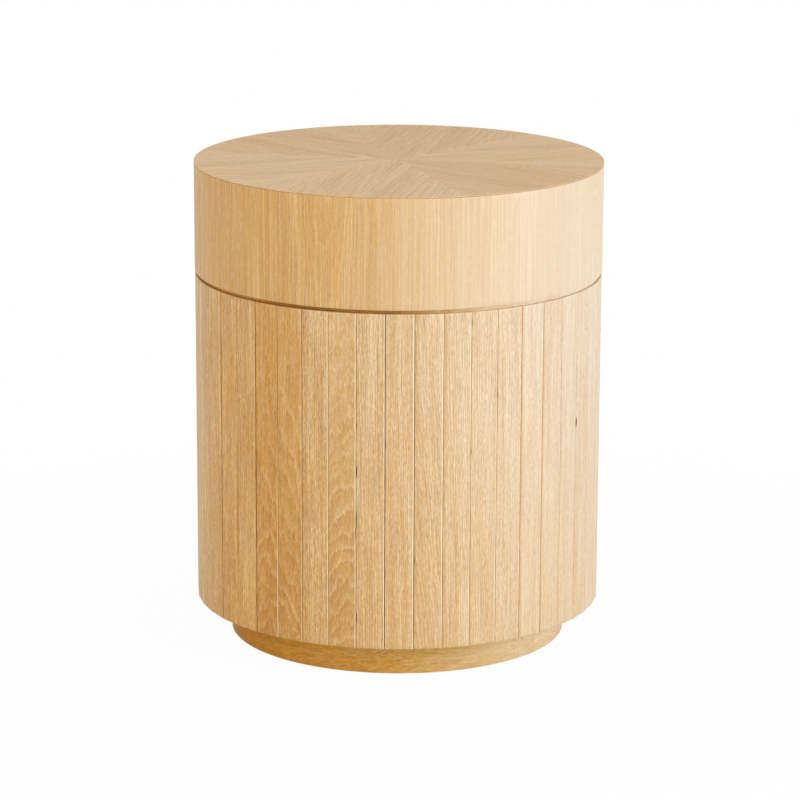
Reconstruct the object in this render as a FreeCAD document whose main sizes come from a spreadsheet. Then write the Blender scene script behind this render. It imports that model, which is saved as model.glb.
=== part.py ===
import FreeCAD, Part
import os
import Sketcher

# Round oak side table: a veneered cap on a drum of flat oak staves, standing on a set-back plinth.
# The origin is the middle of the floor under the table, +Z is up and the front faces -Y.

# Driving dimensions: lengths in millimetres, turns in degrees, and counts
SIZES = {
    # Overall form
    "total_height": 660.4,
    "outer_radius": 279.4,
    "apron_height": 149.2,
    "reveal_height": 5.0,
    "reveal_depth": 4.0,
    "plinth_height": 50.5,
    "plinth_setback": 47.6,
    # Staves
    "stave_count": 46,
    "stave_thickness": 16.0,
    "stave_seam_gap": 0.5,
    "stave_eased_edge": 1.0,
    "front_seam_turn": 4.4,
    # Veneers and glue joints
    "veneer_thickness": 1.0,
    "veneer_eased_edge": 0.4,
    "leaf_count": 6,
    "leaf_joint_gap": 0.1,
    "leaf_seam_turn": 48.0,
    "glue_line": 0.3,
    # Boards and hoops
    "top_panel_thickness": 18.0,
    "cap_floor_thickness": 15.0,
    "apron_hoop_thickness": 18.0,
    "drum_panel_thickness": 18.0,
    "plinth_hoop_thickness": 18.0,
    # Wood screws and the room that their holes leave round them
    "screw_head_radius": 4.0,
    "screw_head_height": 3.0,
    "screw_shank_radius": 2.0,
    "screw_tip_height": 5.0,
    "screw_clearance": 0.2,
    "cap_screw_count": 8,
    "cap_screw_length": 35.0,
    "cap_screw_inset": 60.0,
    "plinth_screw_length": 40.0,
    # Glue blocks inside the plinth
    "plinth_block_count": 6,
    "plinth_block_height": 30.0,
    "plinth_block_depth": 28.0,
    "plinth_block_width": 45.0,
    # Recessed nail-on glides
    "glide_count": 6,
    "glide_radius": 6.0,
    "glide_thickness": 3.0,
    "glide_eased_edge": 0.5,
    "glide_standing": 1.0,
    "glide_nail_radius": 1.1,
    "glide_nail_length": 14.0,
    "glide_nail_tip_height": 2.5,
    "glide_clearance": 0.2,
}

FULL_TURN = 360
HALF_TURN = FULL_TURN / 2
QUARTER_TURN = FULL_TURN / 4

# The ends of a sketch edge, its centre where it is an arc, and the sketch's own origin
START, END, CENTRE = 1, 2, 3
SKETCH_ORIGIN = (-1, START)

document = FreeCAD.newDocument("side_table")
sheet = document.addObject("Spreadsheet::Sheet", "sizes")
for row, (alias, value) in enumerate(SIZES.items(), start=1):
    sheet.set(f"A{row}", alias)
    sheet.set(f"B{row}", str(value))
    sheet.setAlias(f"B{row}", alias)
document.recompute()


# Formulas on the sheet: levels above the floor that several pieces share
PLINTH_TOP = "sizes.plinth_height"
HOOP_BOTTOM = "sizes.glide_standing"
APRON_BOTTOM = "(sizes.total_height - sizes.apron_height)"
STAVE_TOP = f"({APRON_BOTTOM} - sizes.reveal_height)"
CORE_TOP = "(sizes.total_height - sizes.veneer_thickness)"
TOP_PANEL_BOTTOM = f"({CORE_TOP} - sizes.top_panel_thickness)"
CAP_FLOOR_TOP = f"({APRON_BOTTOM} + sizes.cap_floor_thickness)"
DRUM_TOP_PANEL_BOTTOM = f"({STAVE_TOP} - sizes.drum_panel_thickness)"
PLINTH_BLOCK_BOTTOM = f"({PLINTH_TOP} - sizes.plinth_block_height)"

# Formulas on the sheet: radii and turns that several pieces share
APRON_CORE_RADIUS = "(sizes.outer_radius - sizes.veneer_thickness - sizes.glue_line)"
APRON_HOOP_BORE = f"({APRON_CORE_RADIUS} - sizes.apron_hoop_thickness)"
HALF_STAVE_TURN = f"({HALF_TURN} / sizes.stave_count)"
STAVE_FACE = f"(sizes.outer_radius * cos({HALF_STAVE_TURN}))"
STAVE_BACK = f"({STAVE_FACE} - sizes.stave_thickness)"
DRUM_PANEL_RADIUS = f"(({STAVE_BACK} - sizes.glue_line) / cos({HALF_STAVE_TURN}))"
PLINTH_RADIUS = "(sizes.outer_radius - sizes.plinth_setback)"
PLINTH_CORE_RADIUS = f"({PLINTH_RADIUS} - sizes.veneer_thickness - sizes.glue_line)"
PLINTH_HOOP_BORE = f"({PLINTH_CORE_RADIUS} - sizes.plinth_hoop_thickness)"
PLINTH_BLOCK_BACK = f"({PLINTH_HOOP_BORE} - sizes.glue_line)"
CAP_SCREW_CIRCLE = "(sizes.outer_radius - sizes.cap_screw_inset)"
PLINTH_SCREW_CIRCLE = f"({PLINTH_BLOCK_BACK} - sizes.plinth_block_depth / 2)"
GLIDE_CIRCLE = f"({PLINTH_CORE_RADIUS} - sizes.plinth_hoop_thickness / 2)"
FIRST_SEAM_TURN = f"(sizes.front_seam_turn - {QUARTER_TURN})"


def number(formula):
    """The present value of a formula on the sheet."""
    return float(sheet.evalExpression(formula))


# Every sub-part is a body of its own, listed here in the order in which it is made
sub_parts = []


def new_sub_part(label, height="0", turn=FIRST_SEAM_TURN):
    """A body that stands at a height and is turned about the table's upright axis."""
    body = document.addObject("PartDesign::Body", label)
    body.Label = label
    body.AllowCompound = True
    body.setExpression("Placement.Base.z", height)
    body.setExpression("Placement.Rotation.Angle", turn)
    sub_parts.append(body)
    return body


def origin_feature(body, role):
    """One of the body's own origin planes or axes."""
    for feature in body.Origin.OriginFeatures:
        if feature.Role == role:
            return feature
    raise ValueError(f"{body.Label} has no {role}")


def new_sketch(body, name, role, offset=None):
    """An empty sketch on one of the body's origin planes, moved sideways by the offset if there is one."""
    sketch = body.newObject("Sketcher::SketchObject", name)
    sketch.AttachmentSupport = [(origin_feature(body, role), "")]
    sketch.MapMode = "FlatFace"
    if offset:
        sketch.setExpression("AttachmentOffset.Base.x", offset)
    return sketch


def hold_point(sketch, edge, end, across, up):
    """Fix one end of an edge at a distance across and up from the sketch's own origin."""
    for kind, formula in (("DistanceX", across), ("DistanceY", up)):
        constraint = Sketcher.Constraint(kind, *SKETCH_ORIGIN, edge, end, number(formula))
        index = sketch.addConstraint(constraint)
        sketch.setExpression(f"Constraints[{index}]", formula)


def straight_outline(body, name, role, corners, offset=None):
    """A closed outline of straight sides through the corners, each a pair of formulas."""
    sketch = new_sketch(body, name, role, offset)
    points = [FreeCAD.Vector(number(across), number(up), 0) for across, up in corners]
    following = points[1:] + points[:1]
    for start, end in zip(points, following):
        sketch.addGeometry(Part.LineSegment(start, end))
    for side in range(len(points)):
        next_side = (side + 1) % len(points)
        sketch.addConstraint(Sketcher.Constraint("Coincident", side, END, next_side, START))
    for side, (across, up) in enumerate(corners):
        hold_point(sketch, side, START, across, up)
    return sketch


def arc_backed_outline(body, name, near_corners, arc_radius, half_width):
    """A plan outline, symmetric about its X axis, whose far side is an arc about the upright axis."""
    sketch = new_sketch(body, name, "XY_Plane")
    radius = number(arc_radius)
    far_up = number(half_width)
    far_across = (radius ** 2 - far_up ** 2) ** 0.5
    chain = [FreeCAD.Vector(far_across, far_up, 0)]
    chain += [FreeCAD.Vector(number(across), number(up), 0) for across, up in near_corners]
    chain += [FreeCAD.Vector(far_across, -far_up, 0)]
    for start, end in zip(chain, chain[1:]):
        sketch.addGeometry(Part.LineSegment(start, end))
    arc = len(chain) - 1
    middle = FreeCAD.Vector(radius, 0, 0)
    sketch.addGeometry(Part.Arc(chain[-1], middle, chain[0]))
    for side in range(arc):
        sketch.addConstraint(Sketcher.Constraint("Coincident", side, END, side + 1, START))
    sketch.addConstraint(Sketcher.Constraint("Coincident", arc, END, 0, START))
    sketch.addConstraint(Sketcher.Constraint("Coincident", arc, CENTRE, *SKETCH_ORIGIN))
    index = sketch.addConstraint(Sketcher.Constraint("Radius", arc, radius))
    sketch.setExpression(f"Constraints[{index}]", arc_radius)
    for side, (across, up) in enumerate(near_corners):
        hold_point(sketch, side, END, across, up)
    for end, formula in ((START, f"-({half_width})"), (END, half_width)):
        constraint = Sketcher.Constraint("DistanceY", *SKETCH_ORIGIN, arc, end, number(formula))
        index = sketch.addConstraint(constraint)
        sketch.setExpression(f"Constraints[{index}]", formula)
    return sketch


def turn_outline(body, kind, name, outline):
    """A full revolution or groove of an outline about the outline's own upright axis."""
    feature = body.newObject(kind, name)
    feature.Profile = outline
    feature.ReferenceAxis = (outline, ["V_Axis"])
    feature.Angle = FULL_TURN
    document.recompute()
    return feature


def repeat_round(body, name, features, count):
    """Copies of the features, evenly spaced round the table's upright axis."""
    pattern = body.newObject("PartDesign::PolarPattern", name)
    pattern.Originals = features
    pattern.Axis = (origin_feature(body, "Z_Axis"), [""])
    pattern.Angle = FULL_TURN
    pattern.setExpression("Occurrences", count)
    body.Tip = pattern
    document.recompute()
    return pattern


def pad_outline(body, name, outline, length):
    """A straight pad of an outline."""
    pad = body.newObject("PartDesign::Pad", name)
    pad.Profile = outline
    pad.setExpression("Length", length)
    document.recompute()
    return pad


def drill(body, name, corners, circle, count, base=None):
    """Round holes on a circle; where a base feature is given, the base and its hole repeat together."""
    solid_volume = body.Shape.Volume
    outline = straight_outline(body, f"{name}_outline", "XZ_Plane", corners, circle)
    groove = turn_outline(body, "PartDesign::Groove", name, outline)
    if not body.Shape.Volume < solid_volume:
        raise ValueError(f"{body.Label}: {name} cuts nothing")
    features = [base, groove] if base else [groove]
    repeat_round(body, f"{name}_round", features, count)


def ease_edges(body, name, base, element_names, size):
    """A small chamfer on the named edges, or on all edges of the named faces."""
    chamfer = body.newObject("PartDesign::Chamfer", name)
    chamfer.Base = (base, element_names)
    chamfer.setExpression("Size", size)
    document.recompute()
    return chamfer


def upper_arc_names(shape):
    """The arc edges that lie in the shape's upper face."""
    middle_height = shape.BoundBox.Center.z
    names = []
    for index, edge in enumerate(shape.Edges, start=1):
        if isinstance(edge.Curve, Part.Circle) and edge.BoundBox.ZMin > middle_height:
            names.append(f"Edge{index}")
    return names


def farthest_face_name(shape):
    """The face whose middle lies farthest along the body's X axis."""
    distances = [face.CenterOfMass.x for face in shape.Faces]
    return f"Face{distances.index(max(distances)) + 1}"


# Turned boards and hoops
def ring_section(inner, outer, bottom, top):
    """The four corners of a plain rectangular section."""
    return [(inner, bottom), (outer, bottom), (outer, top), (inner, top)]


def turned_sub_part(label, section):
    """A round board or hoop, turned about the table's upright axis."""
    body = new_sub_part(label)
    outline = straight_outline(body, "section", "XZ_Plane", section)
    turn_outline(body, "PartDesign::Revolution", "turned", outline)
    return body


# Screws and the holes that they sit in, head down, with the head's flat at a given level
def screw_section(bottom, length):
    """Half a countersunk wood screw, pointing up."""
    neck = f"({bottom} + sizes.screw_head_height)"
    tip = f"({bottom} + {length})"
    return [
        ("0", bottom),
        ("sizes.screw_head_radius", bottom),
        ("sizes.screw_shank_radius", neck),
        ("sizes.screw_shank_radius", f"({tip} - sizes.screw_tip_height)"),
        ("0", tip),
    ]


def screw_hole_section(bottom, length):
    """Half of the countersunk hole round such a screw, a clearance larger all over."""
    neck = f"({bottom} + sizes.screw_head_height)"
    shank = "(sizes.screw_shank_radius + sizes.screw_clearance)"
    end = f"({bottom} + {length} + sizes.screw_clearance)"
    return [
        ("0", bottom),
        ("(sizes.screw_head_radius + sizes.screw_clearance)", bottom),
        (shank, neck),
        (shank, end),
        ("0", end),
    ]


def turned_group(label, section, circle, count):
    """Alike turned pieces, set upright on a circle."""
    body = new_sub_part(label)
    outline = straight_outline(body, "section", "XZ_Plane", section, circle)
    piece = turn_outline(body, "PartDesign::Revolution", "turned", outline)
    repeat_round(body, "set", [piece], count)
    return body


cap_screws = {
    "corners": screw_hole_section(DRUM_TOP_PANEL_BOTTOM, "sizes.cap_screw_length"),
    "circle": CAP_SCREW_CIRCLE,
    "count": "sizes.cap_screw_count",
}
plinth_screws = {
    "corners": screw_hole_section(PLINTH_BLOCK_BOTTOM, "sizes.plinth_screw_length"),
    "circle": PLINTH_SCREW_CIRCLE,
    "count": "sizes.plinth_block_count",
}

# The cap: a round board on a bent hoop, with a floor inside the hoop's lower edge
turned_sub_part("top_panel", ring_section("0", APRON_CORE_RADIUS, TOP_PANEL_BOTTOM, CORE_TOP))
turned_sub_part(
    "apron_hoop", ring_section(APRON_HOOP_BORE, APRON_CORE_RADIUS, APRON_BOTTOM, TOP_PANEL_BOTTOM)
)
cap_floor_radius = f"({APRON_HOOP_BORE} - sizes.glue_line)"
cap_floor = turned_sub_part("cap_floor", ring_section("0", cap_floor_radius, APRON_BOTTOM, CAP_FLOOR_TOP))
drill(cap_floor, "pilot_holes", **cap_screws)

# The apron veneer wraps the hoop and the board's edge, and its lower arris is eased
apron_veneer_bore = "(sizes.outer_radius - sizes.veneer_thickness)"
turned_sub_part("apron_veneer", [
    (apron_veneer_bore, APRON_BOTTOM),
    ("(sizes.outer_radius - sizes.veneer_eased_edge)", APRON_BOTTOM),
    ("sizes.outer_radius", f"({APRON_BOTTOM} + sizes.veneer_eased_edge)"),
    ("sizes.outer_radius", CORE_TOP),
    (apron_veneer_bore, CORE_TOP),
])

# The sunburst: alike leaves of veneer whose points meet in the middle of the top
half_leaf = f"({HALF_TURN} / sizes.leaf_count)"
top_veneer = new_sub_part("top_veneer", CORE_TOP, f"(sizes.leaf_seam_turn + {half_leaf})")
half_joint = "(sizes.leaf_joint_gap / 2)"
seam_length = f"sqrt(sizes.outer_radius ^ 2 - {half_joint} ^ 2)"
leaf_outline = arc_backed_outline(
    top_veneer,
    "leaf_outline",
    [(f"({half_joint} / sin({half_leaf}))", "0")],
    "sizes.outer_radius",
    f"({seam_length} * sin({half_leaf}) - {half_joint} * cos({half_leaf}))",
)
leaf = pad_outline(top_veneer, "leaf", leaf_outline, "sizes.veneer_thickness")
eased_rim = ease_edges(top_veneer, "eased_rim", leaf, upper_arc_names(leaf.Shape), "sizes.veneer_eased_edge")
repeat_round(top_veneer, "sunburst", [leaf, eased_rim], "sizes.leaf_count")

# The spacer: a board a little smaller than the drum, whose edge shows in the groove under the cap
spacer_radius = "(sizes.outer_radius - sizes.reveal_depth)"
spacer_disc = turned_sub_part("spacer_disc", ring_section("0", spacer_radius, STAVE_TOP, APRON_BOTTOM))
drill(spacer_disc, "screw_holes", **cap_screws)


# The drum: boards with one flat for each stave, their corners on the seams
def drum_panel(label, height, screws):
    """A board with a flat behind each stave, drilled for the screws that pass through it."""
    body = new_sub_part(label, height)
    blank = body.newObject("PartDesign::AdditivePrism", "blank")
    blank.setExpression("Polygon", "sizes.stave_count")
    blank.setExpression("Circumradius", DRUM_PANEL_RADIUS)
    blank.setExpression("Height", "sizes.drum_panel_thickness")
    document.recompute()
    lowered = [(across, f"({up} - {height})") for across, up in screws["corners"]]
    drill(body, "screw_holes", lowered, screws["circle"], screws["count"])
    return body


drum_panel("drum_top_panel", DRUM_TOP_PANEL_BOTTOM, cap_screws)
drum_panel("drum_base_panel", PLINTH_TOP, plinth_screws)

# The staves: flat faces, sides bevelled to the seams, and the four edges of the face eased
half_gap_across = f"(sizes.stave_seam_gap / 2 / cos({HALF_STAVE_TURN}))"
half_face = f"({STAVE_FACE} * tan({HALF_STAVE_TURN}) - {half_gap_across})"
half_back = f"({STAVE_BACK} * tan({HALF_STAVE_TURN}) - {half_gap_across})"
stave_corners = [
    (STAVE_FACE, f"-{half_face}"),
    (STAVE_FACE, half_face),
    (STAVE_BACK, half_back),
    (STAVE_BACK, f"-{half_back}"),
]
for stave_index in range(int(number("sizes.stave_count"))):
    stave_turn = f"({FIRST_SEAM_TURN} + {2 * stave_index + 1} * {HALF_STAVE_TURN})"
    stave = new_sub_part(f"stave_{stave_index + 1:02d}", PLINTH_TOP, stave_turn)
    stave_outline = straight_outline(stave, "cross_section", "XY_Plane", stave_corners)
    blank = pad_outline(stave, "blank", stave_outline, f"{STAVE_TOP} - {PLINTH_TOP}")
    ease_edges(stave, "eased_face", blank, [farthest_face_name(blank.Shape)], "sizes.stave_eased_edge")

# The plinth: a bent hoop, veneered with the grain running round, and recessed for the glides
glide_seat = "sizes.glide_thickness"
nail_top = "sizes.glide_nail_length"
glide_hole_radius = "(sizes.glide_radius + sizes.glide_clearance)"
nail_hole_radius = "(sizes.glide_nail_radius + sizes.glide_clearance)"
nail_hole_top = f"({nail_top} + sizes.glide_clearance)"
nail_shoulder = f"({nail_top} - sizes.glide_nail_tip_height)"
plinth_hoop = turned_sub_part(
    "plinth_hoop", ring_section(PLINTH_HOOP_BORE, PLINTH_CORE_RADIUS, HOOP_BOTTOM, PLINTH_TOP)
)
drill(
    plinth_hoop,
    "glide_holes",
    [
        ("0", "0"),
        (glide_hole_radius, "0"),
        (glide_hole_radius, glide_seat),
        (nail_hole_radius, glide_seat),
        (nail_hole_radius, nail_hole_top),
        ("0", nail_hole_top),
    ],
    GLIDE_CIRCLE,
    "sizes.glide_count",
)
plinth_veneer_bore = f"({PLINTH_RADIUS} - sizes.veneer_thickness)"
turned_sub_part("plinth_veneer", ring_section(plinth_veneer_bore, PLINTH_RADIUS, HOOP_BOTTOM, PLINTH_TOP))

# The glue blocks: their backs follow the hoop and their tops lie under the drum's base board
plinth_blocks = new_sub_part("plinth_blocks", PLINTH_BLOCK_BOTTOM)
block_front = f"({PLINTH_BLOCK_BACK} - sizes.plinth_block_depth)"
half_block = "(sizes.plinth_block_width / 2)"
block_outline = arc_backed_outline(
    plinth_blocks,
    "block_outline",
    [(block_front, half_block), (block_front, f"-{half_block}")],
    PLINTH_BLOCK_BACK,
    half_block,
)
block = pad_outline(plinth_blocks, "block", block_outline, "sizes.plinth_block_height")
lowered_hole = [(across, f"({up} - {PLINTH_BLOCK_BOTTOM})") for across, up in plinth_screws["corners"]]
drill(plinth_blocks, "screw_hole", lowered_hole, plinth_screws["circle"], plinth_screws["count"], block)

# The glides: eased nylon discs, each with the nail that holds it
turned_group(
    "glides",
    [
        ("0", "0"),
        ("(sizes.glide_radius - sizes.glide_eased_edge)", "0"),
        ("sizes.glide_radius", "sizes.glide_eased_edge"),
        ("sizes.glide_radius", glide_seat),
        ("sizes.glide_nail_radius", glide_seat),
        ("sizes.glide_nail_radius", nail_shoulder),
        ("0", nail_top),
    ],
    GLIDE_CIRCLE,
    "sizes.glide_count",
)

# The wood screws
turned_group(
    "cap_screws",
    screw_section(DRUM_TOP_PANEL_BOTTOM, "sizes.cap_screw_length"),
    CAP_SCREW_CIRCLE,
    "sizes.cap_screw_count",
)
turned_group(
    "plinth_screws",
    screw_section(PLINTH_BLOCK_BOTTOM, "sizes.plinth_screw_length"),
    PLINTH_SCREW_CIRCLE,
    "sizes.plinth_block_count",
)

# Check every object and every sub-part before anything is written
document.recompute()
for item in document.Objects:
    if "Invalid" in item.State or "Error" in item.State:
        raise ValueError(f"{item.Label} did not compute: {item.State}")
for body in sub_parts:
    if body.Shape.isNull() or not body.Shape.isValid():
        raise ValueError(f"{body.Label} has no valid shape")

os.makedirs("parts", exist_ok=True)
for body in sub_parts:
    body.Shape.exportStep(os.path.join("parts", f"{body.Label}.step"))
print(f"{len(sub_parts)} sub-parts written")
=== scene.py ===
# %% [markdown]
# # A round side table in limed oak
# The table is a drum of 46 flat oak staves with a smooth veneered cap on it and a low round plinth under it.
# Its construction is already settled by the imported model, which holds every board, screw and glide at its
# real size. This lesson dresses that model: it models the pieces that show, puts them exactly where the
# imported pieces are, and gives every surface a finish that is worked out from the way the wood was sawn.

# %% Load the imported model
import math
import random

import bmesh
import bpy
from mathutils import Matrix, Vector


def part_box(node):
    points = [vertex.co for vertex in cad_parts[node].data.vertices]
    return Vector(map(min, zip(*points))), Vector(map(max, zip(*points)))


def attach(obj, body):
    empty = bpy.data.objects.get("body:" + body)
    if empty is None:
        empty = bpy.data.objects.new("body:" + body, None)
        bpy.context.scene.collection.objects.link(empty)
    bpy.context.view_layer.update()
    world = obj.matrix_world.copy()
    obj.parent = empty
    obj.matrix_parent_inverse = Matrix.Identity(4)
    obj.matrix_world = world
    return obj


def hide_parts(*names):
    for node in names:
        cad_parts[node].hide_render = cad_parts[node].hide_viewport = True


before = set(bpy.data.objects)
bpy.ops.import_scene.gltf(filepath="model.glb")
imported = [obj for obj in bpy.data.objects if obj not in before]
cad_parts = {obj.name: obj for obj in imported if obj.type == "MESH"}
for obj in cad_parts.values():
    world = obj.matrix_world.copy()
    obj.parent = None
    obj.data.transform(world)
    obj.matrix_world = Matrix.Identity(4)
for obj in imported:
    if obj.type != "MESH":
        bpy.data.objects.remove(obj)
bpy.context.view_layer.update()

# %% [markdown]
# ## Sizes
# A maker who veneers a finished carcase measures the carcase and not the drawing. In the same way every
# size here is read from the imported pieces, so that a change of the model carries through to the looks.
# Only what the model has no need of, such as how far an edge is rubbed round, is given as a number.

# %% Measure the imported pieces
MM = 0.001


def bottom_and_top(node):
    """The height of a node's underside and of its top."""
    low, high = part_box(node)
    return low.z, high.z


def radius(node):
    """The largest distance of a node from the axis of the table."""
    return max(vertex.co.xy.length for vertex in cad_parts[node].data.vertices)


def bore(node):
    """The smallest distance of a hoop's wall from the axis of the table."""
    return min(vertex.co.xy.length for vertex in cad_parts[node].data.vertices)


cap_radius = radius("apron_veneer")
veneer_thickness = cap_radius - bore("apron_veneer")
apron_bottom, apron_top = bottom_and_top("apron_veneer")
leaf_bottom, table_top = bottom_and_top("top_veneer")
groove_bottom, groove_top = bottom_and_top("spacer_disc")
groove_radius = radius("spacer_disc")
stave_bottom, stave_top = bottom_and_top("stave_01")
plinth_bottom, plinth_top = bottom_and_top("plinth_veneer")
plinth_radius = radius("plinth_veneer")
stave_nodes = sorted(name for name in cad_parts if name.startswith("stave_"))
print("cap", round(cap_radius / MM, 1), "mm in radius, plinth", round(plinth_radius / MM, 1),
      "mm, table", round(table_top / MM, 1), "mm high")

# %% [markdown]
# The staves stand in a ring, and each one's flat face looks straight out from the axis. The corners of a
# packed stave say which way it looks, how far out its face lies and how wide and thick it is, so nothing
# about the ring has to be typed again.

# %% Measure the ring of staves
stave_pitch = math.tau / len(stave_nodes)


def turn_of(point):
    """How far a point is turned from the front of the table, anticlockwise seen from above."""
    return math.atan2(point.x, -point.y)


def stave_turn(node):
    """How far a stave is turned from the front of the table, anticlockwise seen from above."""
    low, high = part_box(node)
    return turn_of((low + high) / 2)


def stave_corners(node):
    """The corners of a stave, turned to the front: x across its face, y its depth."""
    upright = Matrix.Rotation(-stave_turn(node), 3, "Z")
    return [upright @ vertex.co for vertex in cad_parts[node].data.vertices]


first_corners = stave_corners(stave_nodes[0])
stave_face = -min(corner.y for corner in first_corners)
stave_thickness = max(corner.y for corner in first_corners) + stave_face
stave_width = 2 * max(corner.x for corner in first_corners)
print(len(stave_nodes), "staves, face at", round(stave_face / MM, 2), "mm, width",
      round(stave_width / MM, 2), "mm, thickness", round(stave_thickness / MM, 2), "mm")

# %% [markdown]
# ## The camera
# The table was photographed with a long lens from a little above. Lines that were fitted to the two rims,
# the groove and the plinth give the lens, the distance and the tilt. The camera looks straight at the
# middle of the picture, and leans by a quarter of a degree, because the photographed table does.

# %% Set up the camera
PICTURE_SIDE_PX = 800
LENS_PX = 3553.2
SENSOR_WIDTH = 36.0
CAMERA_DISTANCE = 4.9245
CAMERA_TILT = math.radians(14.098)
CAMERA_LEAN = math.radians(0.227)
AIM_HEIGHT = 0.322
AIM_SIDEWAYS = 0.0027

camera = bpy.data.objects.new("camera", bpy.data.cameras.new("camera"))
bpy.context.scene.collection.objects.link(camera)
camera.data.sensor_width = SENSOR_WIDTH
camera.data.lens = LENS_PX / PICTURE_SIDE_PX * SENSOR_WIDTH
camera.data.clip_end = 100
back = Vector((0, -math.cos(CAMERA_TILT), math.sin(CAMERA_TILT)))
aim = Vector((AIM_SIDEWAYS, 0, AIM_HEIGHT))
camera.matrix_world = (Matrix.Translation(aim + back * CAMERA_DISTANCE)
                       @ Matrix.Rotation(math.pi / 2 - CAMERA_TILT, 4, "X")
                       @ Matrix.Rotation(CAMERA_LEAN, 4, "Z"))
bpy.context.scene.camera = camera
bpy.context.scene.view_settings.view_transform = "Standard"
print("a", round(camera.data.lens, 1), "mm lens at", CAMERA_DISTANCE, "m")

# %% [markdown]
# ## Light
# The photograph has one big soft light far round to the right: the right-hand staves are pale and their
# edges shine, while the left side is deeper in tone. A weaker, warmer light comes from the front left, as
# from a wall, and a third one from straight above lights the top. Large area lamps give such light, and
# the world fills what they leave. The world is plain white where the camera or a reflection sees it, and
# dimmer and a little warm where it lights the table.

# %% Hang the lamps
LAMP_HEIGHT = 0.6
WORLD_FILL = 0.28
WORLD_FILL_COLOUR = (1.0, 0.97, 0.75, 1.0)
WHITE = (1.0, 1.0, 1.0, 1.0)
LAMPS = {
    # name: turn from the front in degrees, elevation, distance, side, power, colour
    "right_window": (62, 10, 3.0, 2.0, 76, (0.72, 0.83, 0.98)),
    "left_wall": (-35, 15, 3.6, 2.0, 51, (1.0, 0.88, 0.62)),
    "ceiling": (0, 88, 2.6, 2.4, 21.5, (1.0, 0.94, 0.85)),
}


def hang_lamp(name, turn, elevation, distance, side, power, colour):
    """A square soft lamp that looks at the middle of the table."""
    lamp = bpy.data.lights.new(name, "AREA")
    lamp.shape = "SQUARE"
    lamp.size = side
    lamp.energy = power
    lamp.color = colour
    turn, elevation = math.radians(turn), math.radians(elevation)
    outwards = Vector((math.sin(turn) * math.cos(elevation), -math.cos(turn) * math.cos(elevation),
                       math.sin(elevation)))
    placed = bpy.data.objects.new(name, lamp)
    bpy.context.scene.collection.objects.link(placed)
    placed.location = Vector((0, 0, LAMP_HEIGHT)) + outwards * distance
    placed.rotation_euler = outwards.to_track_quat("Z", "Y").to_euler()


for name, settings in LAMPS.items():
    hang_lamp(name, *settings)
print(len(LAMPS), "lamps")

# %% [markdown]
# ## Finishes are node trees
# A finish here is worked out by maths nodes and not painted. Two short helpers keep such a tree readable:
# one adds a node and fills its sockets with numbers or links, the other writes a sum or a product.

# %% Helpers for node trees
def add_node(tree, kind, sockets=(), **settings):
    """A new node whose sockets, by number or name, get a value or a link."""
    node = tree.nodes.new("ShaderNode" + kind)
    for name, value in settings.items():
        setattr(node, name, value)
    for key, value in dict(sockets).items():
        if isinstance(value, bpy.types.NodeSocket):
            tree.links.new(value, node.inputs[key])
        else:
            node.inputs[key].default_value = value
    return node


def maths(tree, operation, *values, clamp=False):
    """The result of a Math node."""
    node = add_node(tree, "Math", enumerate(values), operation=operation, use_clamp=clamp)
    return node.outputs[0]


def vector_maths(tree, operation, *values):
    """The result of a Vector Math node."""
    return add_node(tree, "VectorMath", enumerate(values), operation=operation).outputs[0]


def object_place(tree):
    """Where a point lies on its object, in metres."""
    return add_node(tree, "TexCoord").outputs["Object"]


def split_xyz(tree, vector):
    """The three numbers of a vector."""
    return add_node(tree, "SeparateXYZ", {0: vector}).outputs[:3]


def join_xyz(tree, *numbers):
    """A vector of three numbers."""
    return add_node(tree, "CombineXYZ", enumerate(numbers)).outputs[0]


def sized_noise(tree, place, sizes, detail=3.0):
    """A noise from 0 to 1 whose marks have these three sizes, in metres."""
    scaled = vector_maths(tree, "MULTIPLY", place, tuple(1 / size for size in sizes))
    return add_node(tree, "TexNoise", {"Vector": scaled, "Scale": 1.0, "Detail": detail}).outputs[0]


def blend(tree, share, first, second, way="MIX"):
    """A colour between two others: the first at a share of 0, the second at 1. With the way MULTIPLY the
    second is a tint that the first is seen through."""
    node = add_node(tree, "Mix", {0: share, 6: first, 7: second}, data_type="RGBA", blend_type=way)
    return node.outputs[2]


def ramp(tree, share, stops, interpolation="EASE"):
    """A Color Ramp with the stops (place, colour or grey)."""
    node = add_node(tree, "ValToRGB", {0: share})
    node.color_ramp.interpolation = interpolation
    elements = node.color_ramp.elements
    while len(elements) < len(stops):
        elements.new(0.5)
    for element, (place, colour) in zip(elements, stops):
        element.position = place
        element.color = (*colour, 1) if isinstance(colour, tuple) else (colour, colour, colour, 1)
    return node.outputs[0]


def new_finish(name):
    """A material, its node tree and its shader."""
    material = bpy.data.materials.new(name)
    material.use_nodes = True
    return material, material.node_tree, material.node_tree.nodes["Principled BSDF"]


# %% [markdown]
# ## The floor and the white studio
# The studio floor is pale and plain. The camera sees it almost white, because most of what the camera ray
# meets there is its own even glow, and the rest is the lit floor, so the table's soft shadow stays. Seen
# from underneath the floor is clear, so that the plinth and its glides can be looked at from below, and
# inside the plinth it has a round window that lets light up to the blocks and screws.

# %% Lay the floor and set the world
FLOOR_SIDE = 40.0
FLOOR_COLOUR = (0.82, 0.82, 0.82, 1.0)
GLOW_BY_THE_TABLE = 0.975
SHADOW_REACH = (0.35, 1.1)
WINDOW_RADIUS = 0.229


def camera_or_mirror_ray(tree):
    """1 for rays from the camera and for reflected and transmitted rays, else 0."""
    path = add_node(tree, "LightPath")
    seen = maths(tree, "MAXIMUM", path.outputs["Is Camera Ray"], path.outputs["Is Glossy Ray"])
    return maths(tree, "MAXIMUM", seen, path.outputs["Is Transmission Ray"])


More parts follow.
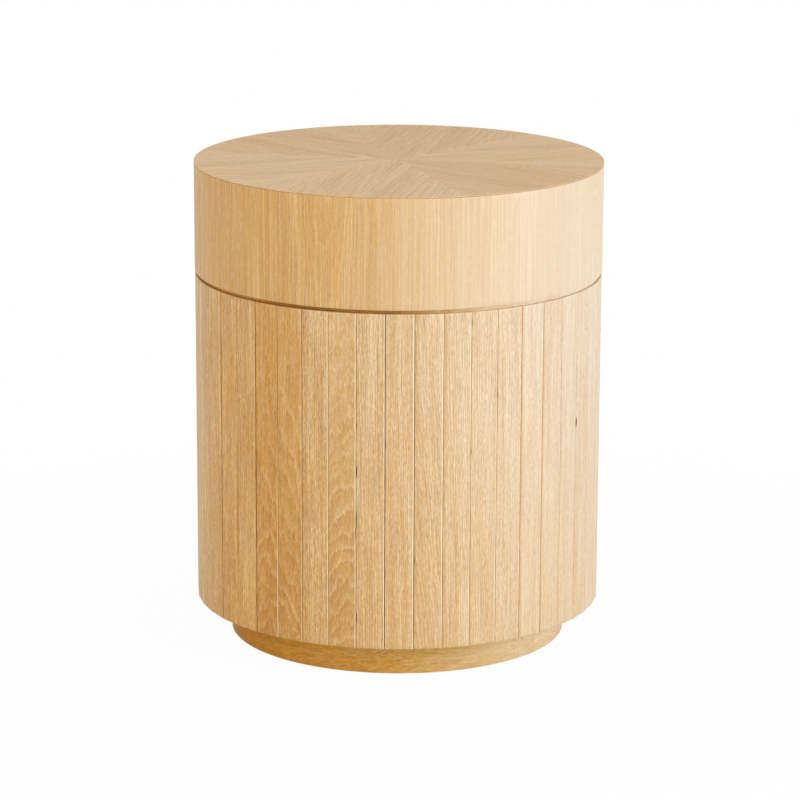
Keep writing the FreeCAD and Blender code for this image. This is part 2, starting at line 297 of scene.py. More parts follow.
world = bpy.data.worlds.new("studio")
world.use_nodes = True
bpy.context.scene.world = world
sky = world.node_tree.nodes["Background"]
seen = camera_or_mirror_ray(world.node_tree)
tint = blend(world.node_tree, seen, WORLD_FILL_COLOUR, WHITE)
strength = maths(world.node_tree, "MULTIPLY_ADD", seen, 1 - WORLD_FILL, WORLD_FILL)
world.node_tree.links.new(tint, sky.inputs["Color"])
world.node_tree.links.new(strength, sky.inputs["Strength"])

bpy.ops.object.select_all(action="DESELECT")
bpy.ops.mesh.primitive_plane_add(size=FLOOR_SIDE)
floor = bpy.context.object
floor.name = "studio_floor"

floor_finish = bpy.data.materials.new("studio_floor")
floor_finish.use_nodes = True
tree = floor_finish.node_tree
tree.nodes.clear()
lit = add_node(tree, "BsdfDiffuse", {"Color": FLOOR_COLOUR}).outputs[0]
glow = add_node(tree, "Emission", {"Color": WHITE, "Strength": 1.0}).outputs[0]
away = add_node(tree, "VectorMath", {0: object_place(tree)},
                operation="LENGTH").outputs["Value"]
glow_share = add_node(tree, "MapRange", {0: away, 1: SHADOW_REACH[0], 2: SHADOW_REACH[1],
                                         3: GLOW_BY_THE_TABLE, 4: 1.0}).outputs[0]
glow_share = maths(tree, "MULTIPLY", camera_or_mirror_ray(tree), glow_share)
top_side = add_node(tree, "MixShader", {0: glow_share, 1: lit, 2: glow}).outputs[0]
clear = add_node(tree, "BsdfTransparent").outputs[0]
underside = add_node(tree, "NewGeometry").outputs["Backfacing"]
see_through = maths(tree, "MAXIMUM", underside, maths(tree, "LESS_THAN", away, WINDOW_RADIUS))
whole = add_node(tree, "MixShader", {0: see_through, 1: top_side, 2: clear}).outputs[0]
add_node(tree, "OutputMaterial", {"Surface": whole})
floor.data.materials.append(floor_finish)
print("floor", FLOOR_SIDE, "m wide")

# %% [markdown]
# ## Oak, worked out from the log
# A board's figure is the way its face cuts the growth rings of the log. Those are long cones round the
# pith, so a face that passes near the pith and leans against it shows nested arches, and a face far from
# it shows straight lines. Across the rings run the rays, thin upright ribbons that look like pale flecks.
# The finish therefore needs one thing of each piece: where every point of it lay in the log. That place is
# stored on the mesh as the attribute "log", in metres, with the pith along its third axis. Three more
# attributes tell what the board is like: "board" holds its tone, its warmth and a number that makes its grain
# its own, "show" how lively and how figured it is, and "mark" a colour line in it and its wear, which also
# carries painted highlights and painted shade.
#
# The colour is a place on a scale from brown to cream. Marks that are long along the grain move it up and
# down that scale, and warmth lays a golden tint over it. Lime in the open grain, dark pores, rubbed edges and
# grime come on top, and the same rubbed lime and grime also paint highlights on arrises and shade in seams,
# knocks and the groove. In a sliced veneer the broad marks follow the rings and the lines run straight.

# %% The oak finish
ATTRIBUTES = ("log", "board", "show", "mark")
RING_PITCH = 2.6 * MM
RING_WANDER = 7 * MM
WANDER_SCALE = (45, 45, 16)
RAY_SPREAD = 0.05
SIDE_SPREAD = 0.04
# The sizes of the marks: across the grain and along it, and of a ray: round the pith, away from it, along it
CLOUD = (14 * MM, 220 * MM)
STREAK = (3.2 * MM, 190 * MM)
GOLDEN_STREAK = (5 * MM, 80 * MM)
GOLDEN_SHIFT = (3.1, 1.7, 0.9)
LINE_LENGTH = 75 * MM
FLECK = (1.0 * MM, 7 * MM)
PORE_STRETCH = 9
RAY = (0.9 * MM, 16 * MM, 12 * MM)
COLOUR_LINE_EDGE = 3 * MM
PLAIN_SHARE = 0.667
TONE_REACH = 0.42
FULL_WARMTH = 0.862
PLAIN_ROUGHNESS = 0.5
GRAIN_HEIGHT = 0.12 * MM
OAK_BROWN = (0.447, 0.195, 0.054)
OAK_GOLD = (0.559, 0.298, 0.115)
OAK_TAN = (0.700, 0.455, 0.243)
OAK_CREAM = (0.876, 0.695, 0.515)
GOLDEN_TINT = (1.0, 0.838, 0.42, 1.0)
# The plinth's and the groove's deeper golden tint, partly their own tone and partly painted warm shade.
SHADED_TINT = (1.0, 0.756, 0.165, 1.0)
LIME = (0.86, 0.70, 0.54, 1.0)
# Rubbed lime, which is also a painted highlight on the staves' right-facing arrises.
RUBBED_LIME_AND_HIGHLIGHT = (0.95, 0.82, 0.56, 1.0)
PORE_BROWN = (0.36, 0.18, 0.05, 1.0)
# Grime, which is also painted shade in the seams, in the knocks and on the left-facing arrises.
GRIME_AND_SHADE = (0.32, 0.135, 0.026, 1.0)
GROOVE_SHADE_BROWN = (0.18, 0.07, 0.013, 1.0)
STAIN_AND_SHADE_BROWN = (0.22, 0.075, 0.012, 1.0)
STAIN_AND_SHADE_DARK = (0.10, 0.034, 0.006, 1.0)
STAIN_SCALE = 160.0


def grain_noise(tree, place, across, along, detail=2.0):
    """A noise about zero whose marks are so wide across the grain and so long along it, in metres."""
    return maths(tree, "SUBTRACT", sized_noise(tree, place, (across, across, along), detail), 0.5)


def weighted(tree, *terms):
    """The sum of (weight, value) terms."""
    total = 0.0
    for weight, value in terms:
        total = maths(tree, "MULTIPLY_ADD", value, weight, total)
    return total


def oak_finish(name, figure=1.0, lines=1.0, flecks=1.0, clouds=1.0, streaks=1.0, dark_pores=0.25, lime=0.35,
               bent=1.0, stretch=1.0, line_width=1.0 * MM, pore_width=0.6 * MM, tint=GOLDEN_TINT,
               grime_and_shade_colour=GRIME_AND_SHADE, gloss=0.5, with_rings=False):
    """Limed oak. The numbers say how strongly rings, lines, flecks, clouds, streaks, dark pores and lime
    show, how much the rings wander, how far long marks are stretched along the grain, and how wide lines
    and pores are. The tint is the colour of full warmth. With_rings is for a sliced
    veneer: it lets the broad marks follow the rings and the lines run through."""
    material, tree, shader = new_finish(name)
    log, board, show, mark = (add_node(tree, "Attribute", attribute_name=attribute).outputs["Vector"]
                              for attribute in ATTRIBUTES)
    tone, warmth, seed = split_xyz(tree, board)
    lively, figured = split_xyz(tree, show)[:2]
    beyond_line, darker, wear_light_and_shade = split_xyz(tree, mark)
    shift = join_xyz(tree, seed, seed, seed)
    place = vector_maths(tree, "ADD", log, shift)

    bend = add_node(tree, "TexNoise", {"Vector": vector_maths(tree, "MULTIPLY", place, WANDER_SCALE),
                                       "Scale": 1.0, "Detail": 3.0}).outputs[1]
    bend = vector_maths(tree, "SUBTRACT", bend, (0.5, 0.5, 0.5))
    bend = vector_maths(tree, "MULTIPLY", bend, (RING_WANDER * bent, RING_WANDER * bent, 0.0))
    x, y, z = split_xyz(tree, vector_maths(tree, "ADD", log, bend))
    reach = maths(tree, "SQRT", weighted(tree, (x, x), (y, y)))
    turn = maths(tree, "MULTIPLY", maths(tree, "ARCTAN2", y, x), RAY_SPREAD)

    broad_place = place
    line_place = place
    if with_rings:
        side = maths(tree, "MULTIPLY", turn, SIDE_SPREAD)
        broad_place = join_xyz(tree, reach, side, z)
        broad_place = vector_maths(tree, "ADD", broad_place, shift)
        line_place = join_xyz(tree, x, side, z)
    cloud = grain_noise(tree, broad_place, CLOUD[0], CLOUD[1] * stretch)
    streak = grain_noise(tree, broad_place, STREAK[0], STREAK[1] * stretch)
    line = grain_noise(tree, line_place, line_width, LINE_LENGTH * stretch)
    golden = vector_maths(tree, "ADD", broad_place, GOLDEN_SHIFT)
    golden = grain_noise(tree, golden, GOLDEN_STREAK[0], GOLDEN_STREAK[1] * stretch, 3.0)
    fleck = grain_noise(tree, place, *FLECK)
    dash = grain_noise(tree, place, pore_width, PORE_STRETCH * pore_width, 0.0)

    years = weighted(tree, (1 / RING_PITCH, reach), (0.45 * flecks, fleck), (0.35, line))
    season = maths(tree, "FRACT", years)
    early = ramp(tree, season, [(0.0, 1.0), (0.12, 0.9), (0.38, 0.0), (0.94, 0.0), (1.0, 1.0)])
    late = ramp(tree, season, [(0.0, 0.0), (0.35, 0.0), (0.92, 1.0), (1.0, 0.0)])
    year = add_node(tree, "TexWhiteNoise", {"W": maths(tree, "FLOOR", years)},
                    noise_dimensions="1D").outputs[0]
    early = maths(tree, "MULTIPLY", early, maths(tree, "MULTIPLY_ADD", year, 0.9, 0.3))
    early = maths(tree, "MULTIPLY", early, figured)
    late = maths(tree, "MULTIPLY", late, figured)

    ribbon = join_xyz(tree, turn, reach, z)
    rays = sized_noise(tree, vector_maths(tree, "ADD", ribbon, shift), RAY, 1.0)
    rays = ramp(tree, rays, [(0.0, 0.0), (0.56, 0.0), (0.72, 1.0)])

    edge = weighted(tree, (1 / COLOUR_LINE_EDGE, beyond_line), (2.5, streak), (1.5, line))
    beyond = maths(tree, "MULTIPLY", ramp(tree, edge, [(0.0, 0.0), (1.0, 1.0)]), darker)
    varied = weighted(tree, (0.50 * clouds, cloud), (0.50 * streaks, streak), (0.39 * lines, line),
                      (0.44 * flecks, fleck), (0.20 * figure, early), (-0.12 * figure, late))
    share = weighted(tree, (lively, varied), (TONE_REACH, tone), (TONE_REACH, beyond))
    share = maths(tree, "ADD", share, PLAIN_SHARE, clamp=True)
    wood = ramp(tree, share, [(0.0, OAK_BROWN), (0.333, OAK_GOLD), (0.667, OAK_TAN), (1.0, OAK_CREAM)],
                "LINEAR")
    warm = maths(tree, "MULTIPLY_ADD", golden, maths(tree, "MULTIPLY", lively, 2.2 * streaks), warmth)
    warm = maths(tree, "MULTIPLY", warm, FULL_WARMTH, clamp=True)
    colour = blend(tree, warm, wood, tint, "MULTIPLY")
    bright = weighted(tree, (0.62 * lines, line), (0.64 * flecks, fleck))
    bright = maths(tree, "MULTIPLY_ADD", bright, lively, 1.0)
    colour = add_node(tree, "VectorMath", {0: colour, 3: bright}, operation="SCALE").outputs[0]

    wisp = maths(tree, "MULTIPLY", early, maths(tree, "MULTIPLY_ADD", fleck, 3.5, 0.5, clamp=True))
    wisp = maths(tree, "MULTIPLY", wisp, lively)
    colour = blend(tree, maths(tree, "MULTIPLY", wisp, 0.4 * figure), colour, LIME)
    limed = ramp(tree, dash, [(0.0, 0.0), (0.12, 0.0), (0.26, 1.0)])
    limed = maths(tree, "MULTIPLY", limed, maths(tree, "MULTIPLY", lively, lime))
    colour = blend(tree, limed, colour, LIME)
    dark = ramp(tree, maths(tree, "MULTIPLY", dash, -1.0), [(0.0, 0.0), (0.14, 0.0), (0.26, 1.0)])
    colour = blend(tree, maths(tree, "MULTIPLY", dark, maths(tree, "MULTIPLY", lively, dark_pores)),
                   colour, PORE_BROWN)
    colour = blend(tree, maths(tree, "MULTIPLY", rays, 0.16), colour, LIME)
    uneven = maths(tree, "MULTIPLY_ADD", streak, 1.8, 0.85, clamp=True)
    # Above zero the wear is rubbed lime and a painted highlight; below zero it is grime and painted shade.
    colour = blend(tree, maths(tree, "MULTIPLY", wear_light_and_shade, uneven, clamp=True), colour, RUBBED_LIME_AND_HIGHLIGHT)
    grime_and_shade = maths(tree, "MULTIPLY", maths(tree, "MULTIPLY", wear_light_and_shade, -1.0), uneven, clamp=True)
    colour = blend(tree, grime_and_shade, colour, grime_and_shade_colour)
    tree.links.new(colour, shader.inputs["Base Color"])

    rough = weighted(tree, (0.12, early), (0.16, fleck), (-0.10, rays), (0.45, grime_and_shade))
    tree.links.new(maths(tree, "ADD", rough, PLAIN_ROUGHNESS), shader.inputs["Roughness"])
    height = weighted(tree, (-0.5, dark), (-0.25, early), (0.5, line), (0.6, fleck))
    bump = add_node(tree, "Bump", {"Height": height, "Strength": 0.3, "Distance": GRAIN_HEIGHT})
    tree.links.new(bump.outputs[0], shader.inputs["Normal"])
    shader.inputs["Specular IOR Level"].default_value = gloss
    return material


stave_oak = oak_finish("stave_oak")
apron_oak = oak_finish("apron_oak", figure=0.5, lines=1.55, flecks=0.6, clouds=0.9, lime=0.3,
                       bent=0.5, stretch=2.0, line_width=1.1 * MM, with_rings=True)
sunburst_oak = oak_finish("sunburst_oak", figure=0.3, lines=0.9, flecks=0.55, clouds=0.6, streaks=0.4,
                          dark_pores=0.15, lime=0.12, bent=0.5, stretch=2.0)
plinth_oak = oak_finish("plinth_oak", figure=0.3, lines=1.35, flecks=0.5, clouds=0.6, streaks=0.7,
                        dark_pores=0.85, lime=0.05, bent=0.4, pore_width=0.85 * MM, tint=SHADED_TINT,
                        gloss=0.05)

# The seam sides: dark-stained raw oak, which also paints the shade in the deep gaps between staves.
seam_stain_and_shade, tree, shader = new_finish("seam_stain_and_shade")
stain_and_shade = add_node(tree, "TexNoise", {"Vector": object_place(tree), "Scale": STAIN_SCALE,
                                    "Detail": 3.0}).outputs[0]
stain_and_shade = blend(tree, stain_and_shade, STAIN_AND_SHADE_BROWN, STAIN_AND_SHADE_DARK)
tree.links.new(stain_and_shade, shader.inputs["Base Color"])
shader.inputs["Roughness"].default_value = 0.9
shader.inputs["Specular IOR Level"].default_value = 0.0
print("four oak finishes, the staves' with", len(stave_oak.node_tree.nodes), "nodes, and a stain")

# %% [markdown]
# ## Working on a piece
# Every piece starts as a simple block or tube and is then cut and bevelled as on a bench. An operator acts
# on all that is selected, so a new piece starts with nothing selected, and the faces or edges to be worked
# are then picked by where they are or where they look.

# %% Helpers for modelling
def clear_bench():
    """Leaves edit mode and deselects everything."""
    if bpy.context.mode != "OBJECT":
        bpy.ops.object.mode_set(mode="OBJECT")
    bpy.ops.object.select_all(action="DESELECT")


def start_editing():
    """The new primitive goes into edit mode, all of it selected."""
    bpy.ops.object.mode_set(mode="EDIT")
    bpy.ops.mesh.select_all(action="SELECT")


def pick(kind, test):
    """Selects the VERT, EDGE or FACE parts of the piece in hand for which the test holds."""
    bpy.ops.mesh.select_mode(type=kind)
    bpy.ops.mesh.select_all(action="DESELECT")
    mesh = bpy.context.edit_object.data
    form = bmesh.from_edit_mesh(mesh)
    form.normal_update()
    parts = {"VERT": form.verts, "EDGE": form.edges, "FACE": form.faces}[kind]
    chosen = [part for part in parts if test(part)]
    for part in chosen:
        part.select_set(True)
    bmesh.update_edit_mesh(mesh)
    return len(chosen)


def middle_of(edge):
    """The middle of an edge."""
    return (edge.verts[0].co + edge.verts[1].co) / 2


def upright(edge):
    """Whether an edge stands upright."""
    run = edge.verts[1].co - edge.verts[0].co
    return abs(run.z) > 0.9 * run.length


def nearest_the_axis(edge):
    """How close to the axis of the table an edge comes."""
    return min(corner.co.xy.length for corner in edge.verts)


def round_off(size, steps):
    """Rounds the selected edges."""
    bpy.ops.mesh.bevel(offset=size, segments=steps, profile=0.5, affect="EDGES")


def turn_faces_out():
    """Turns every face of the piece in hand outwards."""
    bpy.ops.mesh.select_all(action="SELECT")
    bpy.ops.mesh.normals_make_consistent(inside=False)


def off_the_bench(name, material, smooth_angle=32):
    """Takes the piece out of edit mode, with its place in its mesh, its name and its finish."""
    bpy.ops.object.mode_set(mode="OBJECT")
    piece = bpy.context.object
    bpy.ops.object.transform_apply(location=True, rotation=True, scale=True)
    bpy.ops.object.shade_smooth_by_angle(angle=math.radians(smooth_angle))
    piece.name = piece.data.name = name
    piece.data.materials.append(material)
    return piece


def copy_of(piece, name, move=Matrix.Identity(4)):
    """A copy with its own mesh, moved within that mesh."""
    copy = piece.copy()
    copy.data = piece.data.copy()
    copy.name = copy.data.name = name
    copy.data.transform(move)
    bpy.context.scene.collection.objects.link(copy)
    return copy


def put_in_place(piece, node, slot):
    """The piece rides on the table and stands for its node, which is hidden. Its slot is not used."""
    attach(piece, "root")
    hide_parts(node)


NO_LINE = (-1.0, 0.0)


def no_mark(point, face):
    """A piece without a colour line, wear or grime."""
    return (*NO_LINE, 0.0)


def remember_log(piece, sawn, board, mark=no_mark):
    """Stores four vectors for each corner of the mesh. "log" is where it lay in the log. "board" is the
    board's tone, warmth and seed, and "show" how lively and how figured the board is there. "mark" is how far
    the corner lies beyond a colour line, how much darker it is there, and its wear, which is pale above zero,
    as rubbed lime with a painted highlight, and dark below, as grime with painted shade."""
    mesh = piece.data
    for name in ATTRIBUTES:
        mesh.attributes.new(name, "FLOAT_VECTOR", "CORNER")
    log, boards, shows, marks = (mesh.attributes[name].data for name in ATTRIBUTES)
    for face in mesh.polygons:
        for corner in face.loop_indices:
            point = mesh.vertices[mesh.loops[corner].vertex_index].co
            told = board(point)
            log[corner].vector = sawn(point, face)
            boards[corner].vector = told[:3]
            shows[corner].vector = (*told[3:], 0.0)
            marks[corner].vector = mark(point, face)


# %% [markdown]
# ## The stave
# A stave is a solid oak board, 455 mm long, with two sides planed at half the angle between neighbours, so
# that 46 of them close the ring. Its long front edges are rubbed round by a millimetre and a half: on the
# table most of these arrises show as thin pale lines beside the dark seams, partly rubbed lime and partly a
# painted highlight on the arris that faces right. One stave is cut from a block at the front of the drum, and
# the others are turned copies of it. Its long edges are divided into short lengths, so that each seam can be
# worn unevenly afterwards.

# %% Cut one stave
ARRIS = 1.5 * MM
END_ARRIS = 0.5 * MM
ARRIS_STEPS = 3
TIGHT_SEAM = 0.04 * MM
LENGTH_STEPS = 120


def cut_stave():
    """The stave at the front: its face looks to the front, its back is narrower."""
    clear_bench()
    height = stave_top - stave_bottom
    width = 2 * stave_face * math.tan(stave_pitch / 2) - TIGHT_SEAM
    bpy.ops.mesh.primitive_cube_add(size=1, location=(0, 0, 0))
    start_editing()
    bpy.ops.transform.resize(value=(width, stave_thickness, height))
    bpy.ops.transform.translate(value=(0, -stave_face + stave_thickness / 2, stave_bottom + height / 2))
    pick("FACE", lambda face: face.normal.y > 0.9)
    narrowing = 1 - 2 * stave_thickness * math.tan(stave_pitch / 2) / width
    bpy.ops.transform.resize(value=(narrowing, 1, 1))
    pick("EDGE", lambda edge: upright(edge) and middle_of(edge).y < -stave_face + ARRIS)
    round_off(ARRIS, ARRIS_STEPS)
    pick("EDGE", lambda edge: not upright(edge) and middle_of(edge).y < -stave_face + END_ARRIS / 2)
    round_off(END_ARRIS, 2)
    pick("EDGE", lambda edge: upright(edge) and edge.calc_length() > height / 2)
    bpy.ops.mesh.subdivide(number_cuts=LENGTH_STEPS - 1)
    return off_the_bench("stave_pattern", stave_oak)


stave_pattern = cut_stave()
# The side faces in the seams take the dark stain, which also paints the shade in the narrow gaps.
stave_pattern.data.materials.append(seam_stain_and_shade)
for face in stave_pattern.data.polygons:
    face.material_index = 1 if abs(face.normal.x) > 0.99 else 0
print("one stave has", len(stave_pattern.data.polygons), "faces")

# %% [markdown]
# The staves come from many boards. Most are rift sawn, with straight lines, a few are plain sawn with
# arches, and a few lean sideways. A cut is told by how far the stave's middle was from the pith, sideways
# and in depth, and by how it leaned against the pith along its length. Each stave also has a tone, a
# warmth and a liveliness of its own. The staves that the photograph shows have the cuts and colours it
# shows, and the rest are drawn by a seeded draw.
#
# The seams are as uneven as hand-fitted ones: tight here and open there, a little chipped, and knocked at
# some heights. Most right-facing arrises are rubbed pale with lime and carry a painted highlight, every
# left-facing arris carries a little painted shade, and two on the left are dark with grime and painted shade.
# The seam sides and the knocks are darkened by grime and painted shade too.

# %% Saw the boards
CUTS = {
    # name: sideways distance from the pith, depth from it, lean in depth, lean sideways, share of the lean
    # that is lost towards the top
    "rift": (0.055, 0.045, 0.010, 0.004, 0.0),
    "straight": (0.090, 0.030, 0.004, 0.002, 0.0),
    "arches": (0.001, 0.100, 0.105, 0.006, 1.1),
    "left_arches": (0.013, 0.090, 0.095, -0.012, 0.9),
    "right_arches": (-0.014, 0.180, 0.105, 0.000, 0.0),
    "slanted": (0.030, 0.040, 0.030, 0.060, 0.0),
}
# The tones and warmths below are partly the boards' own and partly painted light and shade: the staves on the
# right are paler and cooler where the big light falls, and those on the left deeper and warmer.
FRONT_STAVES = {
    # stave number: cut, tone, warmth, liveliness
    36: ("straight", 0.0, 0.2, 1.0),
    37: ("rift", -0.01, 0.35, 1.1),
    38: ("rift", -0.10, 0.71, 1.1),
    39: ("rift", -0.14, 0.92, 1.15),
    40: ("rift", -0.10, 0.77, 1.0),
    41: ("arches", -0.37, 1.12, 0.83),
    42: ("left_arches", -0.31, 0.95, 0.82),
    43: ("straight", 0.15, 0.47, 1.1),
    44: ("right_arches", -0.10, 0.57, 0.7),
    45: ("rift", 0.09, 0.28, 0.84),
    46: ("straight", 0.12, 0.26, 0.79),
    1: ("slanted", 0.14, 0.19, 0.67),
    2: ("rift", 0.20, 0.15, 0.64),
    3: ("rift", 0.21, 0.15, 0.57),
    4: ("straight", 0.28, 0.06, 0.62),
    5: ("rift", 0.35, 0.10, 0.48),
    6: ("straight", 0.30, 0.09, 0.48),
    7: ("rift", 0.36, 0.03, 0.45),
    8: ("straight", 0.26, 0.05, 0.58),
    9: ("rift", 0.38, 0.0, 0.50),
    10: ("rift", 0.34, 0.0, 0.50),
}
COLOUR_LINES = {
    # stave number: place across the face from its middle, how much darker the wood is left of it
    43: (-0.0100, -0.58),
    1: (-0.013, -0.25),
    2: (-0.014, -0.35),
    5: (-0.014, -0.40),
    6: (-0.0145, -0.22),
}
# stave number: how much it darkens from its middle to its right edge, and how much it pales upwards
DARKER_ACROSS = {43: 0.2}
STAVE_TOP_PALINGS = {41: 0.3, 42: 0.35, 43: 0.05, 44: 0.58}
SEAMS = {
    # stave to its left: width in millimetres, how much it chips, and the wear of the arris to its left at its
    # foot and at its top, which is pale above zero, rubbed lime with a painted highlight, and dark below,
    # grime with painted shade
    37: (0.08, 0.2, -0.15, -0.15),
    38: (0.30, 0.6, -1.0, -1.0),
    39: (0.05, 0.2, -0.15, -0.15),
    40: (0.28, 0.8, -0.9, -1.0),
    41: (0.04, 0.0, 1.0, -0.2),
    42: (0.06, 0.0, 0.5, 0.3),
    43: (0.05, 0.0, 0.9, 0.9),
    44: (0.18, 1.0, 1.0, 1.0),
    45: (0.04, 0.3, 1.0, 1.0),
    46: (0.03, 0.2, 1.0, 1.0),
    1: (0.06, 0.2, 1.0, 1.0),
    2: (0.05, 0.4, 0.7, 0.8),
    3: (0.06, 0.3, 0.7, 0.7),
    4: (0.05, 0.2, 0.2, 0.3),
    5: (0.04, 0.2, 0.1, 0.1),
    6: (0.03, 0.1, 0.0, 0.0),
    7: (0.03, 0.1, -0.2, -0.2),
    8: (0.03, 0.1, 0.0, 0.0),
}
KNOCKS = {
    # stave to the seam's left: heights at which the seam has been knocked open
    2: (0.492, 0.318),
    3: (0.392,),
    7: (0.330, 0.328, 0.328, 0.326),  # one deep knock
    38: (0.440, 0.425, 0.260),
    40: (0.344, 0.300),
    44: (0.356, 0.296, 0.290, 0.232, 0.096, 0.090),
    45: (0.332,),
    46: (0.172,),
}
SEAMS_LESS_DARK = {
    # stave to the seam's left: its share of the usual grime and painted shade
    37: 0.5, 39: 0.4, 45: 0.75, 46: 0.7, 1: 0.7, 2: 0.8, 3: 0.8, 4: 0.5, 5: 0.1, 6: 0.2, 7: 0.3, 8: 0.5,
}
# The ranges that an unseen seam is drawn from: width in millimetres, chips, and the arris's wear with its
# painted highlight
SEAM_RANGES = ((0.03, 0.12), (0, 0.4), (0, 0.8))
# The unseen staves, the cuts they are drawn from, and how tone, warmth and liveliness spread among them
FIRST_DRAWN = 11
LAST_DRAWN = 35
DRAWN_CUTS = ["rift", "rift", "straight", "straight", "arches", "left_arches", "slanted"]
TONE_SPREAD = 0.12
WARMTH_SPREAD = 0.12
LIVELY_SPREAD = 0.1
SEED = 46
SEED_STEP = 0.731
# The waves of a worn side, how high they rise before it is chipped, and how deep
WOBBLES = (0.031, 0.0137, 0.0071)
CHIP_FROM = 1.8
CHIP = 0.6 * MM
FLANK_POWER = 8
KNOCK_DEPTH = 0.5 * MM
KNOCK_LENGTH = 5.0 * MM
# Grime with painted shade in the knocks and on the seam sides.
KNOCK_GRIME_AND_SHADE = 0.5
SEAM_GRIME_AND_SHADE = -0.8
# Painted shade on every stave's left-facing arris.
LEFT_ARRIS_SHADE = -0.15
PROUD = 0.2 * MM
# Painted light: the staves are warmer towards their foot, a painted warm bounce from below.
WARMER_FOOT = 0.45
EVEN_WARMTH = 0.45
STAVE_TOP_PALING = 0.08
FADING = 0.9
draw = random.Random(SEED)


def up_the_stave(point):
    """0 at the foot of the staves, 1 at their top."""
    return (point.z - stave_bottom) / (stave_top - stave_bottom)


def board_cut(cut, flip=1):
    """How a point of the front stave is found in the log."""
    sideways, depth, lean, slant, lost = CUTS[cut]

    def sawn(point, face):
        along = point.z - stave_bottom
        leaned = lean * along * (1 - lost * along / (stave_top - stave_bottom) / 2)
        return (flip * (point.x + sideways + slant * along), depth + leaned + point.y + stave_face, point.z)
    return sawn


def stave_board(number, cut, tone, warmth, lively):
    """A stave is a little warmer at its foot, a painted warm bounce light from below, and paler at its top;
    some darken across their width, and arches fade out towards their tops."""
    top_paling = STAVE_TOP_PALINGS.get(number, STAVE_TOP_PALING)
    across = DARKER_ACROSS.get(number, 0.0) / (stave_face * math.tan(stave_pitch / 2))
    fading = FADING if "arches" in cut else 0.0

    def board(point):
        height_share = up_the_stave(point)
        return (tone + top_paling * (height_share - 0.5) - across * point.x,
                warmth + WARMER_FOOT * (EVEN_WARMTH - height_share), number * SEED_STEP, lively,
                1 - fading * height_share ** 2)
    return board


def knocked(height, knocks):
    """How deep in a knock a height lies: 1 in the middle of one, 0 away from all."""
    return sum(math.exp(-((height - knock) / KNOCK_LENGTH) ** 2) for knock in knocks)


def stave_mark(number, before, foot_wear_and_light, top_wear_and_light):
    """The mark of a stave: its colour line; its right arris, rubbed pale with lime and a painted highlight,
    or grimy with painted shade; painted shade on its left arris; and grime with painted shade at each seam
    and in each knock."""
    line, darker = COLOUR_LINES.get(number, NO_LINE)
    nearest = 0.08 if foot_wear_and_light > 0 else 0.5

    def mark(point, face):
        across = face.normal.x if face.normal.y < -0.1 else 0.0
        height_share = up_the_stave(point)
        wear_and_painted_light = LEFT_ARRIS_SHADE if across < -0.6 else 0.0
        if abs(across) > 0.9:
            wear_and_painted_light = SEAM_GRIME_AND_SHADE * SEAMS_LESS_DARK.get(number if across > 0 else before, 1.0)
        elif across > nearest:
            wear_and_painted_light = foot_wear_and_light + (top_wear_and_light - foot_wear_and_light) * height_share
        if across < -0.1:
            wear_and_painted_light -= KNOCK_GRIME_AND_SHADE * knocked(point.z, KNOCKS.get(before, ()))
        return (line - point.x, darker, wear_and_painted_light)
    return mark


def drawn_board(number):
    """The cut, tone, warmth and liveliness of an unseen stave. The boards at the back lead over from the pale
    ones at the right to the browner ones at the left, which carries the front staves' tones, partly painted
    light and shade, round the back."""
    way_round = (number - FIRST_DRAWN) / (LAST_DRAWN - FIRST_DRAWN)
    cut = draw.choice(DRAWN_CUTS)
    tone = 0.32 * (1 - way_round) + draw.uniform(-TONE_SPREAD, TONE_SPREAD)
    warmth = 0.2 * way_round + draw.uniform(0, WARMTH_SPREAD)
    lively = 0.5 + 0.45 * way_round + draw.uniform(-LIVELY_SPREAD, LIVELY_SPREAD)
    return cut, tone, warmth, lively


def wear_side(stave, side, width, chips, knocks):
    """Planes half the seam's width off one long side, unevenly: the seam is tight here and open there, and
    it has small knocks at some heights."""
    starts = [draw.uniform(0, math.tau) for wobble in WOBBLES]
    half_width = max(vertex.co.x for vertex in stave.data.vertices)
    for vertex in stave.data.vertices:
        if side * vertex.co.x <= 0:
            continue
        wave = sum(math.sin(vertex.co.z / wobble + start) for wobble, start in zip(WOBBLES, starts))
        rub = width / 2 * (1 + wave / len(WOBBLES)) + CHIP * chips * max(0.0, wave - CHIP_FROM)
        rub += KNOCK_DEPTH * knocked(vertex.co.z, knocks)
        share = min(1.0, abs(vertex.co.x) / (half_width - 2 * ARRIS)) ** FLANK_POWER
        vertex.co.x -= side * rub * share


seams = {}
for number in range(1, len(stave_nodes) + 1):
    width, chips, wear_and_painted_light = (draw.uniform(*limits) for limits in SEAM_RANGES)
    seams[number] = SEAMS.get(number, (width, chips, wear_and_painted_light, wear_and_painted_light))
for node in stave_nodes:
    number = int(node.split("_")[1])
    drawn = drawn_board(number)
    cut, tone, warmth, lively = FRONT_STAVES.get(number, drawn)
    width, chips, foot_wear_and_light, top_wear_and_light = seams[number]
    before = number - 1 or len(stave_nodes)
    width_before, chips_before = seams[before][:2]
    stave = copy_of(stave_pattern, "oak_" + node)
    remember_log(stave, board_cut(cut, draw.choice((-1, 1)) if number not in FRONT_STAVES else 1),
                 stave_board(number, cut, tone, warmth, lively),
                 stave_mark(number, before, foot_wear_and_light, top_wear_and_light))
    wear_side(stave, 1, width * MM, chips, ())
    wear_side(stave, -1, width_before * MM, chips_before, KNOCKS.get(before, ()))
    stave.data.transform(Matrix.Translation((0, draw.uniform(0, PROUD), 0)))
    stave.data.transform(Matrix.Rotation(stave_turn(node), 4, "Z"))
    put_in_place(stave, node, "stave_oak")
bpy.data.objects.remove(stave_pattern)
print(len(stave_nodes), "staves stand in the ring")

